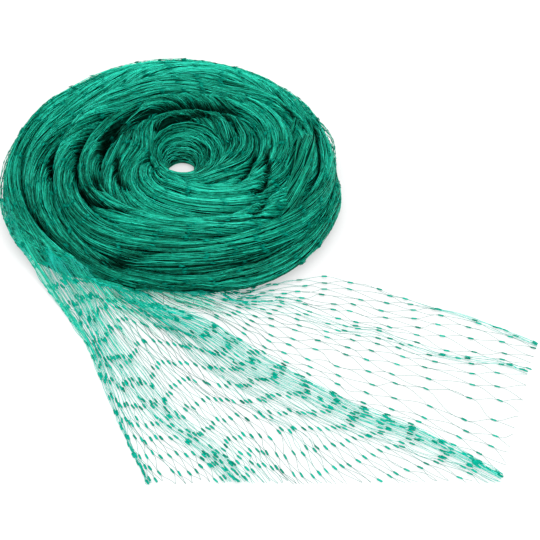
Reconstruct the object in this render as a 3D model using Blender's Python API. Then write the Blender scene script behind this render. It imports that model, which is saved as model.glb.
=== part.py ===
"""Bird netting roll.

Knotless plastic netting with a diamond mesh, gathered across its width into a
loose rope and wound flat into a coil that lies on its side.  The outer end of
the rope leaves the coil at the front left and is spread out on the surface.

Two sub-parts: the wound coil, one solid of its wound form and main twists, and
the loose end, a thin sheet in its folds with the mesh cut through it.

Units are metres, +Z is up, and z = 0 is the surface the netting lies on.
The origin is the middle of the footprint.  The tables are in millimetres and
are measured from the centre of the hole that the rope is wound round.
"""
import math

import bmesh
import bpy
from mathutils import Vector

MM = 0.001
WOUND_COLOUR = (0.010, 0.270, 0.180)
SPREAD_COLOUR = (0.020, 0.420, 0.300)
HOLE_CENTRE = Vector((-0.0562, 0.0847, 0.0))

# ---------------------------------------------------------------- the coil

STEPS_PER_TURN = 80
NECK_CENTRE = Vector((-6.5, 8.0, 0.0))   # the hole is askew: its neck lies to one side
NECK_RADIUS = 13.0           # where the hole's wall meets the surface
UNDER_GROOVE = 3.0           # groove between the turns on the underside
UNDER_GROOVE_FADE = 0.6      # the groove fades at its ends over this angle, radians
WELD_DISTANCE = 0.01         # points closer than this are joined

# Directions from the centre of the hole, in degrees anticlockwise from +X.
# A turn of the rope starts and ends at the first one, where the end leaves.
BEARINGS = (255, 300, 345, 30, 75, 120, 165, 210)

RIM = dict(
    edge=(28, 28, 29, 31, 35, 35, 31, 29),
    dip=(32, 32, 32, 32, 33, 33, 33, 32),
)

# The rope from its inner to its outer end, a block for each turn.
# edge: radius of the turn's outer edge.   dip: height of the groove there.
# crest: height of the turn's back.
TURNS = (
    dict(edge=(28, 47, 56, 57, 47, 45, 58, 72),
         dip=(32, 33, 32, 31, 31, 31, 30, 32),
         crest=(34, 37, 40, 40, 39, 39, 40, 42)),
    dict(edge=(79, 85, 88, 84, 66, 69, 76, 94),
         dip=(36, 37, 33, 31, 32, 31, 29, 33),
         crest=(44, 46, 45, 44, 43, 44, 45, 46)),
    dict(edge=(103, 105, 108, 95, 88, 93, 101, 112),
         dip=(39, 37, 30, 32, 34, 34, 31, 30),
         crest=(47, 47, 46, 43, 42, 43, 44, 43)),
    dict(edge=(122, 120, 121, 103, 103, 111, 125, 133),
         dip=(28, 25, 25, 28, 30, 29, 26, 22),
         crest=(46, 45, 43, 41, 41, 41, 39, 36)),
    dict(edge=(125, 134, 127, 111, 113, 123, 141, 153),
         dip=(7, 12, 13, 14, 14, 14, 13, 8),
         crest=(22, 26, 28, 31, 34, 34, 32, 26)),
)
TURN_COUNT = len(TURNS)

# How far the foot of the outer wall stands outside the turn's edge.
FOOT_OFFSET = (-4, -7, -8, -8, -8, -8, -7, -2)

# Places across a turn where the surface has a row of points, from 0 to 1.
ACROSS_TOP = (0.0, 0.09, 0.21, 0.35, 0.5, 0.65, 0.79, 0.91, 1.0)
ACROSS_UNDER = (0.0, 0.28, 0.72, 1.0)
ARCH_SQUARENESS = 2.4
ARCH_POWER = 0.62
FULL_ARCH_WIDTH = 9.0        # a turn narrower than this is lower as well

# Ridges of the loosely twisted strands, which run slantwise over each turn.
RIDGE_HEIGHT = 1.7
RIDGES_ACROSS = 2.2
TWISTS_PER_TURN = 3.0

# Sections of the two walls, from the surface up: the share of the way from
# the foot to the edge above it, sideways and upward.
OUTER_WALL = ((0.0, 0.0), (0.0, 0.17), (0.42, 0.42), (0.84, 0.72), (1.0, 1.0))
HOLE_WALL = ((0.0, 0.0), (-0.12, 0.15), (0.06, 0.42), (0.4, 0.74), (1.0, 1.0))

# ----------------------------------------------------------- the loose end

NET_THICKNESS = 1.5
NET_GAP = 0.4                # between the coil's foot and the loose end
ROWS = 10                    # rows of mesh knots along the loose end
HALF_COLUMNS = 58            # half widths of a mesh across it
STRAND_WIDTH = 2.0           # solid bar between two neighbouring gaps
SMALLEST_GAP = 4.0           # narrower gaps stay closed
LINE_SAMPLES = 40            # points used to measure a fold line's length
GATHER = 1.35                # how much closer the mesh lies along a crest
RISE_ROWS = 1.0              # rows over which a fold rises from the coil
END_HEIGHT = 0.55            # a fold's height at its far end, as a share

# Fold lines of the loose end from its left edge to its right edge.
# column: the half column of mesh that lies on the line.
# root: bearing at which the line leaves the coil.
# near, middle, end: the points it passes through.   height: of the fold.
FOLDS = (
    dict(column=0, root=222, near=(-91, -138), middle=(-52, -208), end=(-14, -283), height=0),
    dict(column=7, root=230, near=(-70, -154), middle=(-33, -222), end=(2, -283), height=6),
    dict(column=13, root=238, near=(-46, -166), middle=(-9, -230), end=(28, -283), height=0),
    dict(column=20, root=246, near=(-30, -180), middle=(4, -233), end=(53, -283), height=8),
    dict(column=26, root=254, near=(-9, -172), middle=(45, -232), end=(106, -283), height=0),
    dict(column=34, root=262, near=(30, -164), middle=(120, -224), end=(221, -283), height=9),
    dict(column=40, root=271, near=(52, -157), middle=(140, -203), end=(233, -251), height=0),
    dict(column=47, root=281, near=(85, -144), middle=(170, -166), end=(244, -222), height=5),
    dict(column=52, root=293, near=(105, -127), middle=(180, -151), end=(252, -197), height=0),
    dict(column=58, root=305, near=(118, -104), middle=(192, -135), end=(261, -166), height=3),
)


# ------------------------------------------------------------ small helpers

def smooth_through(before, start, end, after, t):
    """Point at t on the smooth curve from start to end."""
    slope_start = (end - before) * 0.5
    slope_end = (after - start) * 0.5
    t2, t3 = t * t, t * t * t
    return (start * (2 * t3 - 3 * t2 + 1) + slope_start * (t3 - 2 * t2 + t)
            + end * (3 * t2 - 2 * t3) + slope_end * (t3 - t2))


def read_row(values, place, closed):
    """Value at a fractional place along a row, closed into a ring or open."""
    index = math.floor(place)
    count = len(values)
    picked = []
    for offset in (-1, 0, 1, 2):
        k = index + offset
        picked.append(values[k % count] if closed else values[min(max(k, 0), count - 1)])
    return smooth_through(*picked, place - index)


def ease(t):
    """Smooth step from 0 to 1."""
    t = min(max(t, 0.0), 1.0)
    return t * t * (3 - 2 * t)


def along_rope(name, angle):
    """A rope measure at an angle wound from its inner end, in radians."""
    values = [value for turn in TURNS for value in turn[name]]
    values.append(TURNS[-1][name][0])
    return read_row(values, angle / math.tau * len(BEARINGS), closed=False)


def round_coil(values, angle):
    """A measure given once for each bearing, at an angle round the coil."""
    return read_row(values, angle / math.tau * len(BEARINGS), closed=True)


def bearing_vector(angle):
    """Unit vector for an angle wound from the first bearing."""
    direction = math.radians(BEARINGS[0]) + angle
    return Vector((math.cos(direction), math.sin(direction), 0.0))


def add_grid(bm, rows):
    """Add a four-sided face between each four neighbouring points."""
    made = [[bm.verts.new(point) for point in row] for row in rows]
    for row, following in zip(made, made[1:]):
        for k in range(len(row) - 1):
            bm.faces.new((row[k], row[k + 1], following[k + 1], following[k]))


# ---------------------------------------------------------------- materials

def netting_material(name, colour, roughness):
    """Plain green plastic."""
    material = bpy.data.materials.new(name)
    material.use_nodes = True
    shader = material.node_tree.nodes["Principled BSDF"]
    shader.inputs["Base Color"].default_value = (*colour, 1.0)
    shader.inputs["Roughness"].default_value = roughness
    shader.inputs["Metallic"].default_value = 0.0
    return material


def add_object(name, bm, collection, material):
    """Close the mesh up, turn its faces outward and put it in the scene."""
    bmesh.ops.recalc_face_normals(bm, faces=bm.faces)
    mesh = bpy.data.meshes.new(name)
    bm.to_mesh(mesh)
    bm.free()
    mesh.materials.append(material)
    mesh.shade_smooth()
    made = bpy.data.objects.new(name, mesh)
    made.location = HOLE_CENTRE
    collection.objects.link(made)
    return made


# ---------------------------------------------------------------- the coil

def edge_radius(angle):
    """Outer edge of the turn at this angle along the rope."""
    return along_rope("edge", angle)


def outline_radius(angle):
    """The coil's outermost edge, at an angle round the coil."""
    last_turn = (TURN_COUNT - 1) * math.tau
    return edge_radius(last_turn + angle % math.tau)


def foot_radius(angle):
    """Where the coil's outer wall meets the surface."""
    return outline_radius(angle) + round_coil(FOOT_OFFSET, angle)


def outer_foot(angle):
    """Point where the outer wall meets the surface."""
    return bearing_vector(angle) * foot_radius(angle)


def outer_edge(angle):
    """Point on the coil's outermost edge, at the top of the outer wall."""
    last_turn = (TURN_COUNT - 1) * math.tau
    height = along_rope("dip", last_turn + angle % math.tau)
    return bearing_vector(angle) * outline_radius(angle) + Vector((0, 0, height))


def neck_foot(angle):
    """Point where the hole's wall meets the surface."""
    return NECK_CENTRE + bearing_vector(angle) * NECK_RADIUS


def rim_edge(angle):
    """Point on the rim of the hole, at the top of its wall."""
    height = round_coil(RIM["dip"], angle)
    return bearing_vector(angle) * round_coil(RIM["edge"], angle) + Vector((0, 0, height))


def inner_edge(angle):
    """Radius and height of a turn's inner edge: the turn inside it, or the rim."""
    if angle < math.tau:
        return round_coil(RIM["edge"], angle), round_coil(RIM["dip"], angle)
    return edge_radius(angle - math.tau), along_rope("dip", angle - math.tau)


def top_point(angle, v):
    """Point on the coil's upper side, v of the way across the turn."""
    inside, inside_dip = inner_edge(angle)
    outside, outside_dip = edge_radius(angle), along_rope("dip", angle)
    radius = inside + (outside - inside) * v
    base = inside_dip + (outside_dip - inside_dip) * v
    arch = (1 - abs(2 * v - 1) ** ARCH_SQUARENESS) ** ARCH_POWER
    arch *= ease((outside - inside) / FULL_ARCH_WIDTH)
    slant = RIDGES_ACROSS * v - TWISTS_PER_TURN * angle / math.tau
    crest = along_rope("crest", angle) + RIDGE_HEIGHT * math.cos(math.tau * slant)
    height = base + (crest - base) * arch
    return (bearing_vector(angle) * radius + Vector((0, 0, height))) * MM


def under_groove(angle):
    """Height of the groove on the underside along a turn's outer edge."""
    last_turn = (TURN_COUNT - 1) * math.tau
    if angle <= 0 or angle >= last_turn:
        return 0.0
    fade_in = ease(angle / UNDER_GROOVE_FADE)
    fade_out = ease((last_turn - angle) / UNDER_GROOVE_FADE)
    return UNDER_GROOVE * fade_in * fade_out


def under_point(angle, v):
    """Point on the underside, which is flat under the middle of each turn."""
    inside, _ = inner_edge(angle)
    outside = edge_radius(angle)
    radius = inside + (outside - inside) * v
    rim = round_coil(RIM["edge"], angle)
    share = (radius - rim) / (outline_radius(angle) - rim)
    point = neck_foot(angle).lerp(outer_foot(angle), share)
    if v == 0.0:
        point.z = under_groove(angle - math.tau)
    elif v == 1.0:
        point.z = under_groove(angle)
    return point * MM


def wall_rows(section, foot, edge):
    """A ring wall from its foot on the surface up to a turn's edge."""
    rows = []
    for step in range(STEPS_PER_TURN + 1):
        angle = math.tau * step / STEPS_PER_TURN
        start, end = foot(angle), edge(angle)
        row = []
        for sideways, upward in section:
            point = start.lerp(end, sideways)
            point.z = end.z * upward
            row.append(point * MM)
        rows.append(row)
    return rows


def make_coil(collection, material):
    """The rope of netting wound flat round its hole."""
    bm = bmesh.new()
    angles = [math.tau * step / STEPS_PER_TURN for step in range(TURN_COUNT * STEPS_PER_TURN + 1)]
    add_grid(bm, [[top_point(angle, v) for v in ACROSS_TOP] for angle in angles])
    add_grid(bm, [[under_point(angle, v) for v in ACROSS_UNDER] for angle in angles])
    add_grid(bm, wall_rows(OUTER_WALL, outer_foot, outer_edge))
    add_grid(bm, wall_rows(HOLE_WALL, neck_foot, rim_edge))
    bmesh.ops.remove_doubles(bm, verts=bm.verts, dist=WELD_DISTANCE * MM)
    return add_object("netting_coil", bm, collection, material)


# ----------------------------------------------------------- the loose end

def root_point(bearing):
    """Where a fold line starts, just clear of the coil's foot."""
    angle = math.radians(bearing - BEARINGS[0]) % math.tau
    return bearing_vector(angle) * (foot_radius(angle) + NET_GAP)


def fold_line(fold):
    """Points spaced evenly by length along one fold line, a point per row."""
    knots = [root_point(fold["root"])]
    knots += [Vector((*fold[name], 0.0)) for name in ("near", "middle", "end")]
    count = LINE_SAMPLES * (len(knots) - 1)
    dense = [read_row(knots, k / LINE_SAMPLES, closed=False) for k in range(count + 1)]
    lengths = [0.0]
    for a, b in zip(dense, dense[1:]):
        lengths.append(lengths[-1] + (b - a).length)
    points = []
    k = 0
    for row in range(ROWS + 1):
        wanted = lengths[-1] * row / ROWS
        while k < count - 1 and lengths[k + 1] < wanted:
            k += 1
        share = (wanted - lengths[k]) / (lengths[k + 1] - lengths[k])
        points.append(dense[k].lerp(dense[k + 1], share))
    return points


def fold_height(fold, row):
    """Height of a fold above the surface at one row."""
    rise = ease(row / RISE_ROWS)
    fall = 1 - (1 - END_HEIGHT) * row / ROWS
    return fold["height"] * rise * fall


def net_point(lines, row, column):
    """Point on the underside of the loose end."""
    left = max(k for k, fold in enumerate(FOLDS[:-1]) if fold["column"] <= column)
    start, end = FOLDS[left], FOLDS[left + 1]
    share = (column - start["column"]) / (end["column"] - start["column"])
    if start["height"] > end["height"]:
        share = share ** GATHER
    else:
        share = 1 - (1 - share) ** GATHER
    if row == 0:
        return root_point(read_row([fold["root"] for fold in FOLDS], left + share, closed=False))
    across = [line[row] for line in lines]
    point = read_row(across, left + share, closed=False)
    low, high = fold_height(start, row), fold_height(end, row)
    point.z = low + (high - low) * ease(share)
    return point


def gap_share(corners, centre):
    """How much of a mesh is open: the gap's size as a share of the mesh's."""
    narrowest = min(
        (corners[k - 1] - centre).cross(corners[k] - centre).length / (corners[k] - corners[k - 1]).length
        for k in range(4))
    if 2 * narrowest - STRAND_WIDTH < SMALLEST_GAP:
        return 0.0
    return 1 - STRAND_WIDTH / 2 / narrowest


def make_loose_end(collection, material):
    """The spread end: a thin sheet in folds with its meshes cut through."""
    bm = bmesh.new()
    lines = [fold_line(fold) for fold in FOLDS]
    thickness = Vector((0, 0, NET_THICKNESS))
    under, upper = {}, {}
    for row in range(ROWS + 1):
        for column in range(row % 2, HALF_COLUMNS + 1, 2):
            point = net_point(lines, row, column)
            under[row, column] = bm.verts.new(point * MM)
            upper[row, column] = bm.verts.new((point + thickness) * MM)

    def add_edge_wall(a, b):
        bm.faces.new((under[a], under[b], upper[b], upper[a]))

    def add_mesh(corners):
        low = [under[key].co / MM for key in corners]
        centre = sum(low, Vector()) / 4
        share = gap_share(low, centre)
        if share == 0.0:
            bm.faces.new([upper[key] for key in corners])
            bm.faces.new([under[key] for key in reversed(corners)])
            return
        gap_low = [bm.verts.new((centre + (point - centre) * share) * MM) for point in low]
        gap_high = [bm.verts.new(vert.co + thickness * MM) for vert in gap_low]
        for k in range(4):
            a, b = corners[k - 1], corners[k]
            bm.faces.new((upper[a], upper[b], gap_high[k], gap_high[k - 1]))
            bm.faces.new((under[b], under[a], gap_low[k - 1], gap_low[k]))
            bm.faces.new((gap_high[k - 1], gap_high[k], gap_low[k], gap_low[k - 1]))

    for row in range(ROWS + 1):
        for column in range((row + 1) % 2, HALF_COLUMNS + 1, 2):
            corners = [(row - 1, column), (row, column + 1), (row + 1, column), (row, column - 1)]
            inside = [key for key in corners if key in under]
            if len(inside) == 4:
                add_mesh(corners)
                continue
            bm.faces.new([upper[key] for key in inside])
            bm.faces.new([under[key] for key in reversed(inside)])
            if row in (0, ROWS):
                add_edge_wall((row, column - 1), (row, column + 1))
            else:
                add_edge_wall((row - 1, column), (row + 1, column))
    return add_object("loose_end", bm, collection, material)


# --------------------------------------------------------------- everything

def main():
    for leftover in list(bpy.data.objects):
        bpy.data.objects.remove(leftover)
    parts = bpy.data.collections.new("bird_netting_roll")
    bpy.context.scene.collection.children.link(parts)
    make_coil(parts, netting_material("netting_wound", WOUND_COLOUR, 0.45))
    make_loose_end(parts, netting_material("netting_spread", SPREAD_COLOUR, 0.40))


main()
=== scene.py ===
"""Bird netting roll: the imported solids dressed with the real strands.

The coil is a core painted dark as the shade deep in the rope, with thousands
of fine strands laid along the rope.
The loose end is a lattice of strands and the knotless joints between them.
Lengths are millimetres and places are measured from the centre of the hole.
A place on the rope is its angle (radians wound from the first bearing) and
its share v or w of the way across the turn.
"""
import math

import bpy
import numpy as np
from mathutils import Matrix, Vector


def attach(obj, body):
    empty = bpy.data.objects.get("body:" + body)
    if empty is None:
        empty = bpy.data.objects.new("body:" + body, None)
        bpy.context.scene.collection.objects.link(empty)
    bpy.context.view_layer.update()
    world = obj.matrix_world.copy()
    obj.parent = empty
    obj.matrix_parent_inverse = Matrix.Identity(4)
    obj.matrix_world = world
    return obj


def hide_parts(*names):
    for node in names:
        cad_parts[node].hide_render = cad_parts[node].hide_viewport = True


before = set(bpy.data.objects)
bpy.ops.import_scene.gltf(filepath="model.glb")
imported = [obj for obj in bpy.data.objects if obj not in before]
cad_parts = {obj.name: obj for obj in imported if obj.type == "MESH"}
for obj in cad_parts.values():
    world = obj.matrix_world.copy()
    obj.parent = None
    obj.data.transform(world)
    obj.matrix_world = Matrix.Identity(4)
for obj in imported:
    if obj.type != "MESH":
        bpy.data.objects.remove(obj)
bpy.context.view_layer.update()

MM = 0.001
TAU = math.tau
HOLE = np.array((-56.2, 84.7, 0.0))
FLOOR_GAP = 0.35  # the lowest that a strand's middle may be
LOWEST = 0.1  # the lowest that any surface may be

# --- small helpers


def curve(start, start_slope, end, end_slope, t):
    """Point t of the way along a smooth curve between two ends."""
    return (start * (2 * t**3 - 3 * t**2 + 1) + start_slope * (t**3 - 2 * t**2 + t)
            + end * (3 * t**2 - 2 * t**3) + end_slope * (t**3 - t**2))


def smooth_row(values, place, closed=False):
    """Values at fractional places along a row, on a smooth curve through it."""
    values = np.asarray(values, float)
    index = np.floor(place).astype(int)
    t = place - index
    picked = []
    for offset in (-1, 0, 1, 2):
        k = index + offset
        k = k % len(values) if closed else np.clip(k, 0, len(values) - 1)
        picked.append(values[k])
    if values.ndim > 1:
        t = t[..., None]
    a, b, c, d = picked
    return curve(b, (c - a) / 2, c, (d - b) / 2, t)


def ease(t):
    """0 to 1 with soft ends."""
    t = np.clip(t, 0.0, 1.0)
    return t * t * (3 - 2 * t)


def unit(vectors):
    return vectors / np.maximum(np.linalg.norm(vectors, axis=-1, keepdims=True), 1e-9)


def between(table, row, column):
    """Values between the rows and columns of a table."""
    r, c = (np.minimum(place.astype(int), size - 2)
            for place, size in ((row, table.shape[0]), (column, table.shape[1])))
    row, column = row - r, column - c
    if table.ndim > 2:
        row, column = row[..., None], column[..., None]
    return ((table[r, c] * (1 - row) + table[r + 1, c] * row) * (1 - column)
            + (table[r, c + 1] * (1 - row) + table[r + 1, c + 1] * row) * column)


def turned_left(directions):
    """Level directions at right angles to others."""
    return np.stack([-directions[..., 1], directions[..., 0], np.zeros(directions.shape[:-1])], -1)


def raised(points):
    """Points with none so low that a strand would dip into the floor."""
    points[..., 2] = np.maximum(points[..., 2], FLOOR_GAP)
    return points


# --- the rope's surface

BEARINGS = (255, 300, 345, 30, 75, 120, 165, 210)
RIM_EDGE = (28, 28, 29, 31, 35, 35, 31, 29)
RIM_DIP = (32, 32, 32, 32, 33, 33, 33, 32)
RIM_CUT = 2.0

# The rope from its inner to its outer end, a block for each turn.
# edge: radius of the turn's outer edge.   dip: height of the groove there.
# crest: height of the turn's back.   cut: how much deeper than its solid the
# groove at its edge is cut.
TURNS = (
    dict(edge=(28, 47, 56, 59, 48, 47, 60, 76), dip=(32, 33, 32, 31, 31, 31, 30, 32),
         crest=(34, 37, 40, 40, 39, 39, 40, 42), cut=(4, 6, 10, 11, 13, 13, 18, 9)),
    dict(edge=(79, 85, 88, 84, 66, 67, 78, 94), dip=(36, 37, 33, 31, 32, 31, 29, 33),
         crest=(44, 46, 45, 44, 43, 44, 45, 46), cut=(1, 3, 7, 6, 11, 11, 14, 12)),
    dict(edge=(103, 105, 108, 95, 88, 93, 101, 112), dip=(39, 37, 30, 32, 34, 34, 31, 30),
         crest=(47, 47, 46, 43, 42, 43, 44, 43), cut=(2, 3, 6, 6, 4, 9, 10, 4)),
    dict(edge=(122, 120, 121, 103, 103, 111, 125, 133), dip=(28, 25, 25, 28, 30, 29, 26, 22),
         crest=(46, 45, 43, 41, 41, 41, 39, 36), cut=(1.5, 3, 3, 3, 2, 3, 3, 2)),
    dict(edge=(125, 134, 127, 111, 113, 123, 141, 153), dip=(9, 12, 13, 16, 16, 16, 13, 8),
         crest=(22, 26, 28, 31, 34, 34, 32, 26), cut=(1, 1, 1, 1, 1, 1, 1, 1)),
)
LAST_TURN = (len(TURNS) - 1) * TAU
ROPE_END = len(TURNS) * TAU
# The dense body stops this far inside the edge, where only loose mesh stands.
EDGE_INSET = (3, 0.5, -0.5, -5, 1, -1.5, -1.5, 4)
# Places where it stops further in: bearing, half width in degrees, depth.
NOTCHES = ((8, 11, 7), (141, 8, 3), (274, 12, 4), (354, 8, 3.5))
LEAST_WIDTH = 1.0  # of the last turn, however deep a notch is

# The walls in section: share of the way from foot to edge, share of the height.
OUTER_WALL = ((0.0, 0.0), (0.0, 0.17), (0.42, 0.42), (0.84, 0.72), (1.0, 1.0))
HOLE_WALL = ((0.0, 0.0), (-0.12, 0.15), (0.06, 0.42), (0.4, 0.74), (1.0, 1.0))
FOOT_OFFSET = (-7, -9, -8, -8, -8, -8, -7, -2)
NECK = np.array((-6.5, 8.0, 0.0))
NECK_RADIUS = 13.0

# The strands' way across the rope: a share of the turn in each radian, a slow
# wander (size, rate, start) and a shift that comes and goes at two angles.
SLANT = 0.217
WANDERS = ((0.24, 1.7, 2.2), (0.13, 3.1, 2.0))
SHIFT, SHIFT_FROM, SHIFT_TO, SHIFT_OVER = 0.33, 1.3, 7.8, 1.1
RIDGES_ACROSS = 2.2  # locks of strands side by side on a turn
RIDGE_HEIGHT = 1.7
SMALL_RIDGES = 2.6  # finer locks on each lock
SMALL_HEIGHT = 1.1

# Short grooves where one bundle dives under another: x and y of points on the
# plan, depth, half width.
SLOTS = (
    ((-69, -69, -65, -57), (-34, -44, -52, -56), 9, 2.2),
    ((-84, -80, -73, -63, -54, -45, -37), (-38, -50, -61, -69, -74, -77, -78), 6.5, 1.5),
    ((41, 27, 14, 0, -14, -26, -36, -44), (41, 46, 48, 48, 46, 42, 37, 32), 7, 1.5),
    ((-40, -48, -56, -62, -67, -69), (43, 35, 25, 14, 2, -9), 8, 2.1),
    ((-75, -81, -85, -86, -85, -83), (19, 10, -3, -18, -32, -44), 6, 1.7),
    ((22, 13, 2, -9, -17, -24), (35, 38, 38, 36, 32, 26), 6, 1.4),
    ((-101, -106, -107, -106, -102), (3, -6, -16, -25, -32), 6, 2.0),
    ((-131, -126, -119, -110, -101, -90, -78), (-26, -42, -60, -73, -85, -96, -103), 4.5, 1.5),
    ((-80, -60, -49, -32, -16), (-102, -109, -112, -116, -117), 4, 1.2),
    ((-54, -55, -54, -52, -48, -40), (-8, -18, -26, -36, -45, -48), 8, 2.0),
    ((-36, -32, -29, -29), (-24, -16, -7, 1), 6, 1.8),
    ((-24, -27, -28, -26, -22), (9, 0, -9, -19, -28), 6, 1.6),
    ((-7, -15, -23, -30), (34, 32, 27, 21), 5, 1.6),
    ((13, 23, 32, 38, 40), (46, 42, 34, 23, 12), 4, 1.7),
    ((32, 34, 32, 26), (18, 9, 0, -8), 4, 1.8),
    ((55, 53, 49, 44, 38), (-4, -17, -31, -42, -50), 8, 2.0),
    ((62, 64, 65, 64, 62, 58, 53), (-8, -19, -28, -38, -47, -53, -58), 7.5, 1.7),
    ((64, 61, 59, 56, 51), (-60, -69, -75, -80, -81), 7, 1.6),
    ((98, 101, 103, 104, 105, 105, 102, 97), (33, 24, 13, 2, -12, -25, -36, -50), 5, 1.6),
    ((87, 85, 83, 82, 81), (-21, -34, -48, -60, -70), 4, 1.8),
    ((73, 78, 84, 89, 93), (51, 45, 34, 23, 14), 5, 2.0),
    ((112, 107, 95, 84, 69, 58, 43), (-53, -66, -82, -93, -103, -109, -114), 4, 1.8),
    ((111, 103, 94, 86, 76, 66), (-41, -51, -61, -70, -77, -80), 4, 2.0),
)
SLOT_TAPER = 0.25  # share of a groove's length over which it gets deeper
SLOT_START = 0.25  # how much of the way it is at its very end


ROPE = {name: [value for turn in TURNS for value in turn[name]] + [TURNS[-1][name][0]]
        for name in TURNS[0]}


def along_rope(name, angle):
    return smooth_row(ROPE[name], angle / TAU * len(BEARINGS))


def round_coil(values, angle):
    return smooth_row(values, angle / TAU * len(BEARINGS), closed=True)


def last_turn(name, angle):
    return along_rope(name, LAST_TURN + angle % TAU)


def bearing_vector(angle):
    direction = math.radians(BEARINGS[0]) + angle
    return np.stack([np.cos(direction), np.sin(direction), np.zeros_like(direction)], -1)


def polar(points):
    """Radius of points on the plan and their angle in the first turn."""
    angle = np.arctan2(points[..., 1], points[..., 0]) - math.radians(BEARINGS[0])
    return np.hypot(points[..., 0], points[..., 1]), angle % TAU


def swells(angle, places):
    """Sum of rounded swells; each has a bearing, a half width in degrees and a size."""
    total = np.zeros_like(angle)
    for middle, half_width, size in places:
        off = (np.degrees(angle) + BEARINGS[0] - middle + 180) % 360 - 180
        total = total + size * np.exp(-(off / half_width) ** 2)
    return total


def edge_inset(angle):
    """How far inside the last turn's edge the dense body stops."""
    last = LAST_TURN + angle % TAU
    width = along_rope("edge", last) - along_rope("edge", last - TAU)
    inset = round_coil(EDGE_INSET, angle) + swells(angle, NOTCHES)
    return np.minimum(inset, width - LEAST_WIDTH)


def turn_edges(angle):
    """Radius, groove height and cut at the inner and at the outer edge of a turn."""
    first = angle < TAU
    inner_angle = np.maximum(angle - TAU, 0)
    rim = {"edge": round_coil(RIM_EDGE, angle), "dip": round_coil(RIM_DIP, angle), "cut": RIM_CUT}
    inside = [np.where(first, rim[name], along_rope(name, inner_angle)) for name in rim]
    outside = [along_rope(name, angle) for name in rim]
    outside[0] = outside[0] - np.where(angle >= LAST_TURN, edge_inset(angle), 0)
    outside[0] = np.maximum(outside[0], inside[0] + LEAST_WIDTH)
    return inside, outside


def slot_depth(points):
    """How deep the short grooves are at points on the plan."""
    depth = np.zeros(points.shape[:-1])
    for *path, deep, wide in SLOTS:
        path = np.column_stack(path)
        path = smooth_row(path, np.linspace(0, len(path) - 1, 6 * len(path)))
        nearest = np.full(points.shape[:-1], 1e9)
        share = np.zeros(points.shape[:-1])
        for k, spot in enumerate(path):
            distance = np.hypot(points[..., 0] - spot[0], points[..., 1] - spot[1])
            closer = distance < nearest
            nearest = np.where(closer, distance, nearest)
            share = np.where(closer, k / (len(path) - 1), share)
        taper = ease(np.minimum(share, 1 - share) / SLOT_TAPER + SLOT_START)
        depth = np.maximum(depth, deep * taper * np.exp(-(nearest / wide) ** 2))
    return depth


def twist(angle):
    """How far across the rope its strands have wandered, in shares of a turn."""
    wander = 0
    for size, rate, start in WANDERS:
        wander = wander + size * np.sin(rate * angle + start)
    shift = ease((angle - SHIFT_TO) / SHIFT_OVER) - ease((angle - SHIFT_FROM) / SHIFT_OVER)
    return SLANT * angle + wander + SHIFT * shift


def ridges(angle, v):
    """The twist of the rope: rounded locks with sharp valleys between them."""
    place = RIDGES_ACROSS * (v - twist(angle))
    lock = np.abs(np.cos(math.pi * place)) ** 0.75
    small = np.abs(np.cos(math.pi * (SMALL_RIDGES * place + 0.3 * np.sin(2.9 * angle)))) ** 0.8
    return RIDGE_HEIGHT * (2.5 * lock - 1.6) + SMALL_HEIGHT * (small - 0.7)


def top_point(angle, v, slots=True):
    """Point on the upper side of the rope, v of the way across the turn."""
    (inside, inside_dip, inside_cut), (outside, outside_dip, outside_cut) = turn_edges(angle)
    width = outside - inside
    radius = inside + width * v
    base = inside_dip + (outside_dip - inside_dip) * v
    narrow = ease(width / 9.0)
    arch = np.clip(1 - np.abs(2 * v - 1) ** 2.4, 0, 1) ** 0.62 * narrow
    grooves = 0
    for cut, from_edge, reach in ((inside_cut, v * width, 1.2 + 0.12 * inside_cut),
                                  (outside_cut, (1 - v) * width, 1.8 + 0.3 * outside_cut)):
        reach = np.maximum(np.minimum(reach, width / 3), 0.5)
        grooves = grooves + cut * np.clip(1 - from_edge / reach, 0, 1) ** 2
    base = base - grooves * narrow
    height = base + (along_rope("crest", angle) - base) * arch + ridges(angle, v) * arch * narrow
    point = bearing_vector(angle) * radius[..., None]
    point[..., 2] = height - (slot_depth(point) if slots else 0)
    return point


TABLE_ANGLES = np.linspace(0, ROPE_END, 1601)
TABLE_STEPS = 49


def across_table():
    """Real width of the rope's top round its section, and v at even steps across it."""
    samples = 0.5 - 0.5 * np.cos(np.linspace(0, math.pi, 81))
    angle, v = np.meshgrid(TABLE_ANGLES, samples, indexing="ij")
    points = top_point(angle, v, slots=False)
    section = np.stack([np.hypot(points[..., 0], points[..., 1]), points[..., 2]], -1)
    pieces = np.diff(section, axis=1, prepend=section[:, :1])
    length = np.cumsum(np.linalg.norm(pieces, axis=-1), axis=1)
    even = np.linspace(0, 1, TABLE_STEPS)
    return length[:, -1], np.array([np.interp(even * row[-1], row, v[0]) for row in length])


ROPE_WIDTHS, EVEN_V = across_table()


def even_v(angle, w):
    """v of a point that is w of the real way across the rope."""
    row = np.clip(angle / ROPE_END, 0, 1) * (len(TABLE_ANGLES) - 1)
    return between(EVEN_V, row, np.clip(w, 0, 1) * (TABLE_STEPS - 1))


def wall_point(section, foot, edge, share):
    """Point on a wall, share of the way up its section from foot to edge."""
    way = smooth_row(section, share * (len(section) - 1))
    point = foot + (edge - foot) * way[..., :1]
    point[..., 2] = edge[..., 2] * way[..., 1]
    return point


def outer_point(angle, share, inset=0.0):
    """Point on the outer wall, share of the way from the surface to its edge."""
    inset = inset + edge_inset(angle)
    radius = last_turn("edge", angle)
    out = bearing_vector(angle)
    foot = out * (radius + round_coil(FOOT_OFFSET, angle) - inset)[..., None]
    edge = out * (radius - inset)[..., None]
    edge[..., 2] = last_turn("dip", angle)
    return wall_point(OUTER_WALL, foot, edge, share)


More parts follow.
